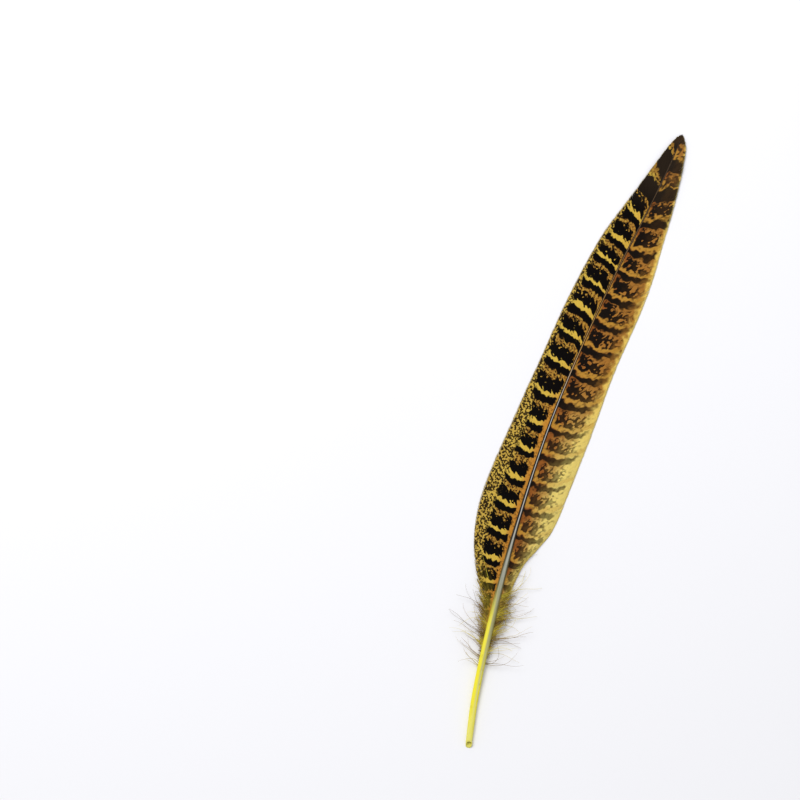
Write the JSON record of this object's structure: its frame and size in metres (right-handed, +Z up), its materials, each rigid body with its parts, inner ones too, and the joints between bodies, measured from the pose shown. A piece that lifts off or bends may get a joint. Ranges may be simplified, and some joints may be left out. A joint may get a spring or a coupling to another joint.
{
  "type": "pheasant tail feather",
  "caption": "Long tapering tail feather with a curved shaft, two barred vanes and wispy down at the bare quill, lying with its upper side up.",
  "frame": {"origin": "middle of the feather's box in plan, on the surface that it lies on", "axes": "+Y from the cut end of the quill to the tip, +X to the feather's right seen from above, +Z up out of its upper side"},
  "size_m": [0.037, 0.26, 0.0061],
  "materials": {
    "vane": "soft matt barbs dyed yellow over brown, with near-black bars",
    "shaft": "smooth silky horn, grey along the middle with dark flanks, brown towards the tip, and half clear and dyed bright yellow at the bare quill",
    "down": "fine loose olive-brown hairs"
  },
  "bodies": {
    "root": {"feather": "vane"}
  },
  "joints": []
}
